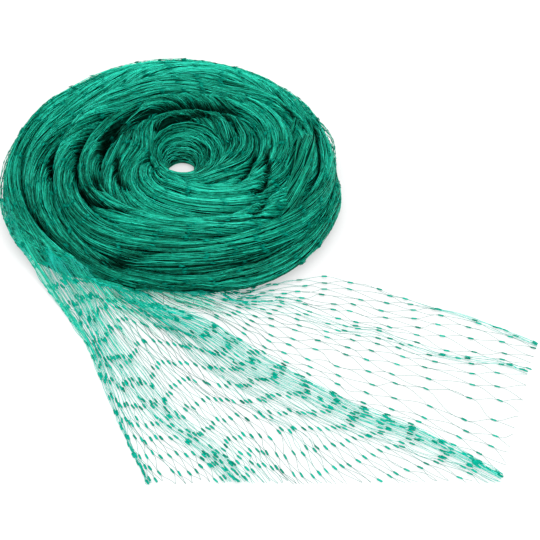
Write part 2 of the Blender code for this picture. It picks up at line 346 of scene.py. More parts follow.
def hole_point(angle, share):
    """Point on the hole's wall, share of the way from the surface to the rim."""
    foot = NECK + bearing_vector(angle) * NECK_RADIUS
    edge = bearing_vector(angle) * round_coil(RIM_EDGE, angle)[..., None]
    edge[..., 2] = round_coil(RIM_DIP, angle)
    return wall_point(HOLE_WALL, foot, edge, share)


def under_point(angle, share):
    """Point on the underside, share of the way from the hole to the outer foot."""
    inner, outer = hole_point(angle, 0 * angle), outer_point(angle, 0 * angle)
    return inner + (outer - inner) * share[..., None]


def coil_height(points):
    """Height of the coil's top at points on the plan, 0 outside the coil."""
    radius, angle = polar(points)
    height = np.zeros(radius.shape)
    for turn in range(len(TURNS)):
        here = angle + turn * TAU
        (inside, _, _), (outside, _, _) = turn_edges(here)
        v = (radius - inside) / np.maximum(outside - inside, 0.5)
        z = top_point(here, np.clip(v, 0.04, 0.96), slots=False)[..., 2]
        height = np.where((v >= 0) & (v <= 1), z, height)
    return height


# --- mesh tools

def put_in_scene(name, data, place=(0, 0, 0), turn=(0, 0, 0)):
    made = bpy.data.objects.new(name, data)
    made.location, made.rotation_euler = place, turn
    bpy.context.scene.collection.objects.link(made)
    return made


def mesh_object(name, parts, material):
    """An object from parts of (points, quads, triangles, tone at each point)."""
    start, moved = 0, []
    for points, quads, triangles, tone in parts:
        points = points.reshape(-1, 3)
        moved.append((points, quads + start, triangles + start, tone.reshape(-1)))
        start += len(points)
    points, quads, triangles, tones = map(np.concatenate, zip(*moved))
    points[:, 2] = np.maximum(points[:, 2], LOWEST)
    mesh = bpy.data.meshes.new(name)
    corners = np.concatenate([quads.reshape(-1), triangles.reshape(-1)]).astype(np.int32)
    totals = np.repeat((4, 3), (len(quads), len(triangles)))
    starts = (np.cumsum(totals) - totals).astype(np.int32)
    mesh.vertices.add(len(points))
    mesh.vertices.foreach_set("co", ((points + HOLE) * MM).astype(np.float32).reshape(-1))
    mesh.loops.add(len(corners))
    mesh.loops.foreach_set("vertex_index", corners)
    mesh.polygons.add(len(totals))
    mesh.polygons.foreach_set("loop_start", starts)
    mesh.polygons.foreach_set("use_smooth", np.ones(len(totals), bool))
    mesh.update(calc_edges=True)
    mesh.validate()
    attribute = mesh.attributes.new("tone", "FLOAT", "POINT")
    attribute.data.foreach_set("value", tones.astype(np.float32))
    mesh.materials.append(material)
    made = put_in_scene(name, mesh)
    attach(made, "root")
    return made


SURFACE_TONE = 0.3


def grid_quads(rows, columns):
    index = np.arange(rows * columns).reshape(rows, columns)
    corners = [index[:-1, :-1], index[:-1, 1:], index[1:, 1:], index[1:, :-1]]
    return np.stack(corners, -1).reshape(-1, 4)


def grid_part(points):
    """A surface through a grid of points, as a part of a mesh."""
    shape = points.shape[:2]
    return points, grid_quads(*shape), np.zeros((0, 3), int), np.full(shape, SURFACE_TONE)


def ragged(counts):
    """For points of strands put end to end: owner, whether first, whether last, share."""
    owner = np.repeat(np.arange(len(counts)), counts)
    starts = np.cumsum(counts) - counts
    place = np.arange(counts.sum()) - starts[owner]
    return owner, place == 0, place == counts[owner] - 1, place / (counts[owner] - 1)


def tubes(points, counts, radii, tone, sides=3, flat=1.0, painted_side_shade=0.0):
    """Closed tubes round strands put end to end, with a painted highlight along the top and painted
    shade on the sides by painted_side_shade.
    """
    _, first, last, _ = ragged(counts)
    index = np.arange(len(points))
    ahead, behind = np.where(last, index, index + 1 - last), np.where(first, index, index - 1)
    along = unit(points[ahead] - points[behind])
    side = unit(np.cross(along, (0.02, 0.01, 1.0)))
    over = np.cross(side, along)
    turn = np.arange(sides) * TAU / sides + TAU / 4
    ring = (np.cos(turn)[None, :, None] * side[:, None]
            + flat * np.sin(turn)[None, :, None] * over[:, None])
    shell = points[:, None] + ring * radii[:, None, None]
    corner = np.arange(len(points) * sides).reshape(-1, sides)
    following = np.roll(corner, -1, axis=1)
    here = np.nonzero(~last)[0]
    quads = np.stack([corner[here], following[here], following[here + 1], corner[here + 1]], -1)
    caps = [corner[first][:, [0, k + 1, k]] for k in range(1, sides - 1)]
    caps += [corner[last][:, [0, k, k + 1]] for k in range(1, sides - 1)]
    # Painted highlight on the top corner, painted shade on the two side corners.
    shades = tone[:, None] + painted_side_shade * (np.sin(turn)[None, :] - 0.6)
    return shell, quads.reshape(-1, 4), np.concatenate(caps), shades.reshape(-1)


def even_tubes(paths, radii, tone):
    """Tubes round strands with as many points each, from a radius and tone each."""
    count, points = paths.shape[:2]
    return tubes(paths.reshape(-1, 3), np.full(count, points), np.repeat(radii, points),
                 np.repeat(tone, points))


JOINT_HALF = 2.2  # half the length of a joint
JOINT_REACH = 0.9  # how far out along that half the strands leave it
SPINDLE = ((-1, 0.3), (0, 1), (1, 0.3))
FLAT_JOINT = ((-1, 0.5), (-0.7, 0.95), (0.7, 0.95), (1, 0.5))


def joint_parts(centres, directions, radius, tone, sides, rings, flat=0.7):
    """Small joints at centres; rings are (place along, share of the radius)."""
    rings = np.array(rings)
    along = (rings[:, 0] * JOINT_HALF)[None, :, None]
    points = centres[:, None] + directions[:, None] * along
    radii = radius[:, None] * rings[None, :, 1]
    counts = np.full(len(centres), len(rings))
    tones = np.repeat(tone, len(rings))
    return tubes(points.reshape(-1, 3), counts, radii.reshape(-1), tones, sides, flat)


def joint_pairs(joined, step):
    """Rows and columns of joints that have a neighbour one row on and step columns over."""
    rows, columns = np.nonzero(joined[:-1])
    there = (columns + step >= 0) & (columns + step < joined.shape[1])
    return rows[there], columns[there]


def from_joint_to_joint(points, flow, aside, here, step):
    """Start, slope there, end, slope there and length of strands between such joints."""
    there = here[0] + 1, here[1] + step
    start = points[here] + flow[here] * JOINT_HALF * JOINT_REACH + aside[here]
    end = points[there] - flow[there] * JOINT_HALF * JOINT_REACH - aside[there]
    return start, flow[here], end, flow[there], np.linalg.norm(end - start, axis=1)


def strand_paths(start, start_slope, end, end_slope, pull, t):
    """Points t of the way along strands that keep their slopes for about pull mm."""
    pull = pull[:, None]
    return curve(start[:, None], (start_slope * pull)[:, None],
                 end[:, None], (end_slope * pull)[:, None], t)


# --- materials

def set_sockets(node, values):
    for socket, value in values.items():
        node.inputs[socket].default_value = value


def with_nodes(block, node, values):
    """Set the main node of a material or world and return all its nodes."""
    block.use_nodes = True
    set_sockets(block.node_tree.nodes[node], values)
    return block.node_tree.nodes


def plastic(name, stops, roughness, gloss, patch, amount):
    """Green plastic whose shade follows the strand's tone, with fine patches."""
    material = bpy.data.materials.new(name)
    nodes = with_nodes(material, "Principled BSDF", {"Roughness": roughness, "IOR": 1.5})
    shader = nodes["Principled BSDF"]
    tone, place, noise, shift, total, ramp, shine = (nodes.new("ShaderNode" + kind) for kind in (
        "Attribute", "TexCoord", "TexNoise", "MapRange", "Math", "ValToRGB", "Math"))
    tone.attribute_name = "tone"
    set_sockets(noise, {"Scale": patch, "Detail": 3.0})
    set_sockets(shift, {"From Min": 0.25, "From Max": 0.75, "To Min": -amount, "To Max": amount})
    total.operation = "ADD"
    elements = ramp.color_ramp.elements
    while len(elements) < len(stops):
        elements.new(0.5)
    for element, (position, colour) in zip(elements, stops):
        element.position = position
        element.color = (*colour, 1.0)
    set_sockets(shine, {1: gloss})
    shine.operation = "MULTIPLY"
    shine.use_clamp = True
    for start, output, end, socket in (
            (place, "Object", noise, "Vector"), (noise, "Fac", shift, "Value"),
            (shift, "Result", total, 0), (tone, "Fac", total, 1), (total, 0, ramp, "Fac"),
            (total, 0, shine, 0), (shine, 0, shader, "Specular IOR Level"),
            (ramp, "Color", shader, "Base Color")):
        material.node_tree.links.new(start.outputs[output], end.inputs[socket])
    return material


# Colours from the darkest tone to the palest: place on the ramp, colour. The near-black ends are
# reached where painted shade is taken off a tone.
STRAND_STOPS = ((0.0, (0.0, 0.006, 0.003)), (0.22, (0.0, 0.055, 0.031)),
                (0.5, (0.0005, 0.27, 0.162)), (0.75, (0.003, 0.53, 0.345)),
                (1.0, (0.03, 0.87, 0.64)))
# The core is painted near-black, as the shade deep among the strands.
CORE_STOPS = ((0.0, (0.0, 0.008, 0.005)), (1.0, (0.0005, 0.06, 0.037)))
JOINT_STOPS = ((0.0, (0.0, 0.06, 0.04)), (0.5, (0.0, 0.24, 0.16)), (1.0, (0.0, 0.42, 0.30)))
NET_STOPS = ((0.0, (0.06, 0.25, 0.21)), (1.0, (0.012, 0.62, 0.49)))

# Colours, roughness, gloss, patches to the metre, strength of the patches.
strand_green = plastic("strand_green", STRAND_STOPS, 0.42, 0.28, 300.0, 0.09)
root_green = plastic("root_green", STRAND_STOPS, 0.42, 0.3, 200.0, 0.09)
core_shade_green = plastic("core_shade_green", CORE_STOPS, 0.8, 0.05, 300.0, 0.2)
joint_green = plastic("joint_green", JOINT_STOPS, 0.5, 0.06, 400.0, 0.1)
net_green = plastic("net_green", NET_STOPS, 0.45, 0.15, 150.0, 0.06)

# --- coil core

CORE_DEPTH = 2.8  # below the strands' surface
CORE_INSET = 4.5  # inside the outer wall
CORE_FOOT = 1.3
CORE_STEPS = 160  # round each turn
CORE_ACROSS = (0.0, 0.03, 0.07, 0.12, 0.19, 0.27, 0.35, 0.43, 0.5,
               0.57, 0.65, 0.73, 0.81, 0.88, 0.93, 0.97, 1.0)


def make_core():
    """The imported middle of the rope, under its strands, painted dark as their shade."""
    angle = np.linspace(0, ROPE_END, len(TURNS) * CORE_STEPS + 1)
    angle, v = np.meshgrid(angle, np.array(CORE_ACROSS), indexing="ij")
    top = top_point(angle, v)
    top[..., 2] -= CORE_DEPTH
    reach = np.linalg.norm(top[..., :2], axis=-1)
    limit = last_turn("edge", angle) - CORE_INSET
    top[..., :2] *= np.minimum(1, limit / np.maximum(reach, 1))[..., None]
    once_round, up = np.linspace(0, TAU, CORE_STEPS + 1), np.linspace(0, 1, 8)
    angle, share = np.meshgrid(once_round, up, indexing="ij")
    walls = outer_point(angle, share, CORE_INSET), hole_point(angle, share)
    for wall in walls:
        wall[..., 2] = np.maximum(wall[..., 2] - CORE_DEPTH * share, CORE_FOOT)
    outer, inner = (wall[:, 0] for wall in walls)
    under = inner[:, None] + (outer - inner)[:, None] * np.linspace(0, 1, 12)[None, :, None]
    parts = [grid_part(grid) for grid in (top, *walls, under)]
    made = mesh_object("coil_core", parts, core_shade_green)
    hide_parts("netting_coil")


# --- coil strands

STEP = 10.0  # spacing of points along a strand
FINER = 3  # how many times closer they are where a groove is crossed
# SMALLEST is measured in painted shade.
SMALLEST = 0.22  # change of darkness that is worth a closer point
ROW = 20.5  # spacing of the rows of joints along the rope
MEAN_WIDTH = 32.0  # width of a turn that the wisps' spacing is based on
WISP_SEED = 21
WISPS = ((1.6, 0.2), (2.5, 0.28), (4.2, 0.26), (7.6, 0.2))  # size, share
BAND_SEED, CLOUD_SEED = 3, 4
PATCH_SIZES = (9, 14, 23, 37)


def top_radius(angle):
    inside, outside = turn_edges(angle)
    return (outside[0] + inside[0]) / 2


ROPE_LENGTHS = np.cumsum(np.diff(TABLE_ANGLES, prepend=0) * top_radius(TABLE_ANGLES))


def wisps(x, s):
    """Sideways shift in mm and height that gather strands into wisps."""
    local = np.random.default_rng(WISP_SEED)
    shift, height = np.zeros_like(x), np.zeros_like(x)
    for size, share in WISPS:
        waves = np.sin(s * TAU / (size * local.uniform(24, 36)) + x * local.uniform(0.1, 0.3))
        phase = x * TAU / size + 1.3 * waves + local.uniform(0, TAU)
        shift -= share * size / TAU * np.sin(phase)
        height += share * np.cos(phase)
    return shift, height


def row_phase(x, s):
    """Share of the way from one row of joints to the next, -0.5 to 0.5."""
    bent = s + 5.0 * np.sin(x * 0.17 + s * 0.006) + 1.6 * np.sin(x * 0.83 + 1.0)
    return (bent / ROW + 0.5) % 1.0 - 0.5


def patches(x, s, seed):
    """Soft lighter and darker patches, about -1 to 1."""
    local = np.random.default_rng(seed)
    total = np.zeros_like(x)
    for size in PATCH_SIZES:
        total += np.sin(x * TAU / size * local.uniform(0.8, 1.2) + local.uniform(0, TAU)
                        + s * TAU / (size * local.uniform(2.0, 3.5)))
    return total / 2.2


def painted_light_by_region(points):
    """Painted light and shade by region: a paler back (partly its loose mesh, partly painted
    light), a paler hole rim, and a darker middle ring, low front and left.
    """
    radius = np.hypot(points[:, 0], points[:, 1])
    back = points[:, 1] / np.maximum(radius, 1)
    rear = np.clip(back, 0, 1)
    front = np.clip(-back, 0, 1) ** 2 * ease((points[:, 0] + 75) / 20)
    left = ease((-points[:, 0] - 30) / 30) * (1 - front)
    inner = ease((radius - 30) / 8) * (1 - ease((radius - 52) / 14))
    # Painted light on the back (where its mesh is also loose) and on the hole's rim, painted shade
    # on the low front, painted light on the high front.
    loose_back_and_light = 0.28 * ease((radius - 75) / 25)
    hole_rim_light = 0.08 * (1 - ease((radius - 30) / 6))
    low_front_shade = 0.17 * ease((radius - 98) / 12)
    high_front_light = 0.05 * ease((radius - 45) / 15)
    # Painted shade on the middle ring at the back and on the left.
    return ((loose_back_and_light + hole_rim_light - 0.2 * inner) * rear
            - low_front_shade * front + high_front_light * front - 0.08 * left)


class Chart:
    """A part of the coil's surface that strands are laid on.

    out is 1 or -1, whichever turns its normal outward. The others are functions
    of the angle: along is the distance in the strands' direction, and darkness,
    the painted shade on strands and joints, also takes the share of the way across
    and the points.
    """

    def __init__(self, surface, out, width, radius, darkness, along):
        self.surface, self.out, self.width, self.radius = surface, out, width, radius
        self.darkness, self.along = darkness, along
        self.is_rope = surface is top_point

    def random_angles(self, local, count):
        """Angles spread evenly over the surface."""
        if not self.is_rope:
            return local.uniform(0, TAU, count)
        weight = np.cumsum(self.width(TABLE_ANGLES) * self.radius(TABLE_ANGLES))
        return np.interp(local.uniform(0, 1, count), weight / weight[-1], TABLE_ANGLES)

    def drift(self, angle):
        """How far across the surface its strands have wandered."""
        return twist(angle) if self.is_rope else 0

    def lane(self, angle, w):
        """Which lane of the rope a point is in: the same all along a strand, in mm."""
        return (w - self.drift(angle)) * MEAN_WIDTH

    def place(self, angle, w, lift):
        """Points lifted off the surface, w of the way across it by length."""
        v = even_v(angle, w) if self.is_rope else w
        step = 0.012
        here = self.surface(angle, v)
        left, right = (self.surface(angle, np.clip(v + side, 0, 1)) for side in (-step, step))
        normal = unit(np.cross(self.surface(angle + 0.01, v) - here, right - left))
        return here + normal * (lift * self.out)[..., None]


def strands_on(chart, count, shortest, longest, depth, tone, loose, seed, radius):
    """Strands along a surface: points, counts, radii and tones."""
    local = np.random.default_rng(seed)
    start = chart.random_angles(local, count)
    length = local.uniform(shortest, longest, count)
    reach = length / chart.radius(start)
    middle = local.uniform(-0.06, 1.06, count)
    slant = local.normal(0, loose, count) * chart.radius(start) / chart.width(start)
    counts = FINER * np.ceil(length / STEP).astype(int) + 1
    owner, _, _, share = ragged(counts)
    angle = start[owner] + reach[owner] * (share - 0.5)
    if chart.is_rope:
        angle = np.clip(angle, 0.0, ROPE_END - 0.02)
    w = middle[owner] + slant[owner] * (angle - start[owner])
    if chart.is_rope:
        w = w + twist(angle) - twist(start)[owner]
    x, s = chart.lane(angle, w), chart.along(angle)
    shift, height = wisps(x, s)
    gather = 1.0 if loose < 0.06 else 0.4
    w = np.clip(w + gather * shift / chart.width(angle), 0.012, 0.988)
    ends = np.minimum(share, 1 - share) * length[owner]
    dip = 1.6 * (1 - ease(ends / 14))
    lift = depth + local.normal(0, 0.3, count)[owner] + 0.75 * gather * height - dip
    points = raised(chart.place(angle, w, lift))
    in_row = np.exp(-(row_phase(x, s) * ROW / 2.3) ** 2)
    band = in_row * ease(0.45 + 0.9 * patches(x, s, BAND_SEED))
    # The wisps' height adds painted light on their crests and painted shade in the valleys between
    # them; the rows of joints are darker in their own colour.
    shade = tone + 0.27 * height - 0.22 * band + 0.06 * patches(x, s, CLOUD_SEED)
    # Painted shade in the grooves, as the chart gives it.
    dark = chart.darkness(angle, w, points)
    # The painted shade of the grooves is taken off, and the painted light and shade by region is
    # added.
    shade = shade + local.normal(0, 0.2, count)[owner] - dark + painted_light_by_region(points)
    radii = radius * (0.45 + 0.55 * ease(ends / 6)) * local.uniform(0.8, 1.2, count)[owner]
    # Closer points stay only where the painted shade leaves a straight line.
    extra = np.round(share * (counts[owner] - 1)).astype(int) % FINER
    before = np.arange(len(dark)) - extra
    after = np.minimum(before + FINER, len(dark) - 1)
    straight = dark[before] + (dark[after] - dark[before]) * extra / FINER
    kept = (extra == 0) | (np.abs(dark - straight) > SMALLEST)
    counts = np.bincount(owner[kept], minlength=count)
    return points[kept], counts, radii[kept], np.clip(shade[kept], 0, 1)


def top_width(angle):
    return np.maximum(np.interp(angle, TABLE_ANGLES, ROPE_WIDTHS), 4.0)


def top_darkness(angle, w, points):
    """Painted shade on a strand: in the grooves between the turns, in the short grooves and deep
    below the crest.
    """
    inside, outside = turn_edges(angle)
    width = top_width(angle)
    dark = []
    for from_edge, spread, cut in ((w * width, 0.9, inside[2]), ((1 - w) * width, 1.6, outside[2])):
        near = 0.72 * ease(1.4 - from_edge / (1.0 + 0.3 * cut))
        far = 0.42 * ease(1.15 - from_edge / (0.5 + spread * cut))
        dark.append((near + far) * np.minimum(1, cut / 5.0))
    # Painted shade that deepens below the turn's crest and in the short grooves.
    sunk_shade = np.clip(along_rope("crest", angle) - points[:, 2] - 4.0, 0, 12) * 0.008
    return np.maximum(*dark) + 0.12 * slot_depth(points) + sunk_shade


def same(value):
    """A measure that is the same at all angles."""
    return lambda angle: value + 0 * angle


def along_circle(radius):
    return lambda angle: angle * radius


def foot_shade(foot):
    """Painted shade on a wall at its foot, fading to none at its edge."""
    return lambda angle, w, points: foot * (1 - w)


CHARTS = dict(
    top=Chart(top_point, -1, top_width, top_radius, top_darkness,
              lambda angle: np.interp(angle, TABLE_ANGLES, ROPE_LENGTHS)),
    outer=Chart(outer_point, 1, lambda angle: 8 + last_turn("dip", angle),
                lambda angle: last_turn("edge", angle), foot_shade(0.10), along_circle(125)),
    hole=Chart(hole_point, -1, same(36.0), same(22.0), foot_shade(0.06), along_circle(24)),
    # The underside takes an even painted shade.
    under=Chart(under_point, -1, same(105.0), same(75.0),
                lambda angle, w, points: 0.2 + 0 * w, along_circle(75)),
)

# Strands: piece, chart, how many, shortest, longest, lift, tone, how loose, radius.
LAYERS = (
    ("coil_deep_strands", "top", 800, 80, 190, -1.7, 0.30, 0.02, 0.34),
    ("coil_mid_strands", "top", 1450, 70, 180, -0.8, 0.44, 0.03, 0.26),
    ("coil_top_strands", "top", 2250, 70, 180, 0.0, 0.63, 0.025, 0.19),
    ("coil_loose_strands", "top", 2450, 50, 140, 0.5, 0.73, 0.06, 0.155),
    ("coil_side_deep", "outer", 330, 70, 160, -1.4, 0.35, 0.02, 0.30),
    ("coil_side_strands", "outer", 700, 50, 150, -0.3, 0.58, 0.05, 0.22),
    ("coil_hole_strands", "hole", 800, 20, 60, -0.4, 0.58, 0.08, 0.22),
    ("coil_under_strands", "under", 420, 60, 140, 0.2, 0.40, 0.02, 0.38),
)
LAYER_SEED, JOINT_SEED, BUNDLE_SEED = 100, 300, 400  # of the first of each
# Painted shade on a strand's sides and a painted highlight along its top.
PAINTED_SIDE_SHADE = 0.16  # how much darker a strand's sides are


def make_coil_strands():
    for index, (name, chart, *sizes, radius) in enumerate(LAYERS):
        laid = strands_on(CHARTS[chart], *sizes, LAYER_SEED + index, radius)
        part = tubes(*laid, painted_side_shade=PAINTED_SIDE_SHADE)
        mesh_object(name, [part], strand_green)


# --- joints and bundles on the coil

COIL_JOINTS = (("top", 6000, 1.1), ("outer", 900, 0.9))  # chart, how many, lift


def make_coil_joints():
    """Joints in rows across the strands, in patches."""
    parts = []
    for index, (name, count, lift) in enumerate(COIL_JOINTS):
        chart = CHARTS[name]
        local = np.random.default_rng(JOINT_SEED + index)
        angle = chart.random_angles(local, count)
        w = local.uniform(0.05, 0.95, count)
        x = chart.lane(angle, w)
        angle = angle - row_phase(x, chart.along(angle)) * ROW / chart.radius(angle)
        angle = np.clip(angle, 0.02, ROPE_END - 0.05) if chart.is_rope else angle
        clouds = patches(x, chart.along(angle), BAND_SEED)
        seen = clouds + local.normal(0, 0.25, count) > -0.05
        angle, w, x = angle[seen], w[seen], x[seen]
        count = len(angle)
        _, height = wisps(x, chart.along(angle))
        lift_here = lift + 0.75 * height
        centre = chart.place(angle, w, lift_here)
        angle_on = angle + 0.02
        w_on = w + (chart.drift(angle_on) - chart.drift(angle))
        ahead = chart.place(angle_on, w_on, lift_here)
        direction = unit(unit(ahead - centre) + local.normal(0, 0.12, (count, 3)))
        # Joints take the painted shade of the grooves too.
        shade = local.normal(0.46, 0.17, count) - chart.darkness(angle, w, centre)
        radius = local.uniform(0.45, 0.68, count)
        parts.append(joint_parts(centre, direction, radius, np.clip(shade, 0, 1), 3, SPINDLE))
    mesh_object("coil_joints", parts, joint_green)


# Bundles that cross the turns: points on the plan, half width, rise, strands.
BUNDLES = (
    (((99, 30), (97, 12), (94, -12), (91, -34), (86, -54), (77, -72), (61, -84)), 7.0, 2.0, 105),
    (((86, 40), (88, 22), (84, 2), (80, -18), (74, -36)), 4.2, 1.4, 46),
)
BUNDLE_SINK = 6.2  # how far below the coil's top a bundle's middle starts
BUNDLE_RIM = 13  # points round the half that shows
BUNDLE_STRAND = 0.26  # radius


class Bundle:
    """The upper half of a bundle of strands laid over the coil's top."""

    def __init__(self, path, half_width, rise):
        steps = 8 * len(path)
        self.t, self.rise = np.linspace(0, 1, steps), rise
        plan = smooth_row(path, self.t * (len(path) - 1))
        self.length = np.hypot(*np.diff(plan, axis=0).T).sum()
        self.line = np.column_stack([plan, np.zeros(steps)])
        ground = np.pad(coil_height(self.line), 4, mode="edge")
        ground = np.convolve(ground, np.ones(9) / 9, "valid")
        taper = ease(np.minimum(self.t, 1 - self.t) / 0.3)
        self.line[:, 2] = ground + (rise + 5.0) * taper - BUNDLE_SINK
        self.across = turned_left(unit(np.gradient(self.line[:, :2], axis=0)))
        self.half = half_width * (0.35 + 0.65 * taper)

    def point(self, t, c, out):
        """Point c of the way from the middle of the bundle to its side."""
        place, index = t * (len(self.t) - 1), np.arange(len(self.t))
        middle, side = (np.stack([np.interp(place, index, row) for row in value.T], -1)
                        for value in (self.line, self.across))
        wide = np.interp(place, index, self.half)
        lean = c * math.pi * 0.62
        up = np.zeros_like(middle)
        up[..., 2] = 1.0
        return (middle + side * (np.sin(lean) * (wide + out))[..., None]
                + up * (np.cos(lean) * (self.rise + 0.8 + out))[..., None])


def make_bundles():
    cores, coats = [], []
    for index, (path, half_width, rise, strands) in enumerate(BUNDLES):
        local = np.random.default_rng(BUNDLE_SEED + index)
        bundle = Bundle(path, half_width, rise)
        grid_t, grid_c = np.meshgrid(bundle.t, np.linspace(-1, 1, BUNDLE_RIM), indexing="ij")
        cores.append(grid_part(bundle.point(grid_t, grid_c, -1.0)))
        length = local.uniform(0.35, 1.0, strands) * bundle.length
        middle_t = local.uniform(0.0, 1.0, strands)
        counts = np.ceil(length / STEP).astype(int) + 2
        owner, _, _, share = ragged(counts)
        along = middle_t[owner] + (length / bundle.length)[owner] * (share - 0.5)
        along = np.clip(along, 0, 1)
        c = local.uniform(-1.4, 1.4, strands)[owner] + 1.5 * (0.5 - along)
        s = along * bundle.length
        shift, height = wisps(c * half_width, s)
        c = np.clip(c + shift / half_width, -1.1, 1.1)
        points = bundle.point(along, c, local.normal(0, 0.25, strands)[owner] + 0.6 * height)
        band = np.exp(-(((s / ROW) % 1.0 - 0.5) * ROW / 2.4) ** 2)
        # Painted light on the wisps' crests, painted shade between them and on the bundle's sides;
        # the rows of joints are darker in their own colour.
        shade = 0.62 + 0.17 * height - 0.12 * band - 0.42 * np.abs(c) ** 3
        shade = np.clip(shade + local.normal(0, 0.05, strands)[owner], 0, 1)
        radii = np.full(len(points), BUNDLE_STRAND)
        coats.append(tubes(points, counts, radii, shade, painted_side_shade=PAINTED_SIDE_SHADE))
    # The bundles' cores are painted dark as the shade within them.
    mesh_object("bundle_cores", cores, core_shade_green)
    mesh_object("bundle_strands", coats, strand_green)


# --- the loose end

# Lines of the loose end from its left edge to its right edge: the half column
# of mesh on the line, its height, and x and y at the rows of ROW_NUMBERS.
ROW_NUMBERS = (-2, 0, 2, 4, 6, 8, 10, 11)
LINES = (
    (0, 1, (-90, -69, -55, -42, -29, -19, -7, -1),
           (-135, -167, -199, -228, -258, -277, -299, -309)),
    (8, 4, (-86, -65, -49, -37, -24, -13, -1, 5),
           (-136, -168, -203, -233, -263, -283, -305, -315)),
    (14, 1, (-84, -63, -45, -27, -10, 7, 23, 32),
            (-129, -165, -202, -238, -263, -285, -306, -316)),
    (24, 5, (-78, -59, -35, -11, 16, 34, 53, 62),
            (-129, -166, -205, -237, -262, -283, -307, -317)),
    (44, 6, (-69, -49, -19, 4, 32, 50, 70, 80),
            (-124, -159, -202, -232, -259, -280, -304, -315)),
    (54, 1, (-59, -41, -13, 15, 44, 61, 81, 91),
            (-126, -146, -185, -217, -249, -270, -297, -309)),
    (66, 1, (-44, -14, 16, 45, 74, 92, 119, 132),
            (-127, -153, -188, -218, -244, -277, -306, -319)),
    (92, 7, (-25, 15, 48, 84, 122, 157, 198, 218),
            (-135, -163, -191, -214, -238, -255, -277, -289)),
    (120, 8, (-14, 25, 57, 94, 130, 166, 206, 225),
             (-134, -151, -177, -201, -224, -240, -266, -280)),
    (124, 1, (1, 32, 62, 96, 135, 177, 218, 239),
             (-126, -141, -168, -186, -207, -227, -253, -263)),
    (129, 1, (13, 38, 68, 100, 141, 180, 226, 249),
             (-123, -135, -152, -166, -183, -200, -217, -227)),
    (134, 5, (21, 43, 70, 107, 147, 184, 231, 252),
             (-123, -132, -139, -155, -167, -181, -190, -197)),
    (141, 6, (24, 45, 75, 112, 152, 188, 234, 255),
             (-119, -129, -130, -145, -157, -173, -184, -191)),
    (147, 2, (28, 47, 70, 110, 150, 191, 242, 259),
             (-116, -124, -121, -124, -137, -141, -161, -171)),
    (153, 3, (31, 49, 65, 109, 149, 193, 244, 260),
             (-113, -119, -112, -104, -117, -136, -158, -167)),
)
# The rows before the first of these, where the mesh comes off the coil: the
# place and height of each line.
CLIMB = (
    ((-144, -43, 20), (-137, -63, 19), (-128, -83, 14), (-115, -100, 8), (-103, -118, 3)),
    ((-139, -45, 23), (-132, -65, 22), (-122, -84, 18), (-110, -102, 11), (-97, -120, 6)),
    ((-135, -47, 24), (-128, -66, 23), (-118, -84, 20), (-105, -101, 14), (-93, -118, 7)),
    ((-130, -44, 26), (-123, -61, 25), (-114, -79, 22), (-103, -96, 18), (-90, -113, 10)),
    ((-126, -51, 25), (-118, -70, 24), (-108, -87, 21), (-95, -101, 15), (-81, -114, 9)),
    ((-121, -60, 25), (-110, -77, 24), (-98, -91, 20), (-84, -104, 14), (-69, -114, 8)),
    ((-114, -71, 24), (-101, -87, 22), (-88, -99, 18), (-73, -110, 12), (-57, -117, 7)),
    ((-108, -81, 21), (-94, -95, 18), (-79, -106, 13), (-62, -116, 8), (-43, -121, 5)),
    ((-106, -90, 16), (-89, -102, 14), (-68, -110, 10), (-46, -115, 7), (-27, -122, 4)),
    ((-104, -95, 14), (-82, -108, 11), (-57, -112, 8), (-34, -116, 6), (-13, -121, 4)),
    ((-101, -99, 12), (-76, -111, 9), (-50, -113, 7), (-26, -117, 5), (-2, -121, 3.5)),
    ((-96, -102, 11), (-69, -113, 8), (-43, -114, 6.5), (-18, -118, 5), (6, -121, 3)),
    ((-91, -105, 10), (-63, -114, 7.5), (-36, -115, 6), (-12, -119, 4.5), (12, -121, 3)),
    ((-86, -107, 9), (-58, -115, 7), (-30, -116, 5.5), (-7, -120, 4), (17, -121, 3)),
    ((-81, -109, 8), (-52, -116, 6), (-24, -117, 5), (-1, -120, 4), (22, -121, 3)),
)
HALF_COLUMNS = LINES[-1][0]
CLIMB_ROWS = len(CLIMB[0])
CUT_FRONT = -284.5  # the end is cut along this line
CUT_RIGHT = ((221.0, -283.0), (262.0, -166.0))
CUT_MARGIN = 1.0  # no joint is nearer to the cut
NET_STRAND = 0.155  # radius
NET_BENDS = 7  # points on a strand from joint to joint
NET_SEED, ROOT_SEED, FRINGE_SEED = 5, 9, 7
STRAND_PARTING = 0.22  # between the two strands that leave a joint
NET_LOWEST = 0.65
WALL_REACH, WALL_RISE = zip(*OUTER_WALL[1:])
HIDDEN = 15.0  # low mesh further inside the coil's wall is left under it


def beyond_cut(points):
    """How far points are past the cut end, negative inside."""
    (x0, y0), (x1, y1) = CUT_RIGHT
    dx, dy = x1 - x0, y1 - y0
    right = ((points[..., 0] - x0) * dy - (points[..., 1] - y0) * dx) / math.hypot(dx, dy)
    return np.maximum(CUT_FRONT - points[..., 1], right)


def off_the_coil(points, lift):
    """Points moved off the coil: out of its wall if low, else onto its top."""
    radius, angle = polar(points)
    radius = np.maximum(radius, 1.0)
    dip = last_turn("dip", angle)
    reach = np.interp(points[..., 2] / dip, WALL_RISE, WALL_REACH)
    overhang = round_coil(FOOT_OFFSET, angle) * (1 - reach)
    wall = last_turn("edge", angle) - edge_inset(angle) + overhang + lift
    low = (points[..., 2] < dip + 4.0) & (radius > wall - HIDDEN)
    outward = np.where(low & (radius < wall), wall / radius, 1.0)
    under = (points[..., 2] < 8) & (radius <= wall - HIDDEN)
    points = points * np.stack([outward, outward, np.ones_like(outward)], -1)
    on_top = np.maximum(points[..., 2], coil_height(points) + lift)
    points[..., 2] = np.where(low | under, points[..., 2], on_top)
    return points


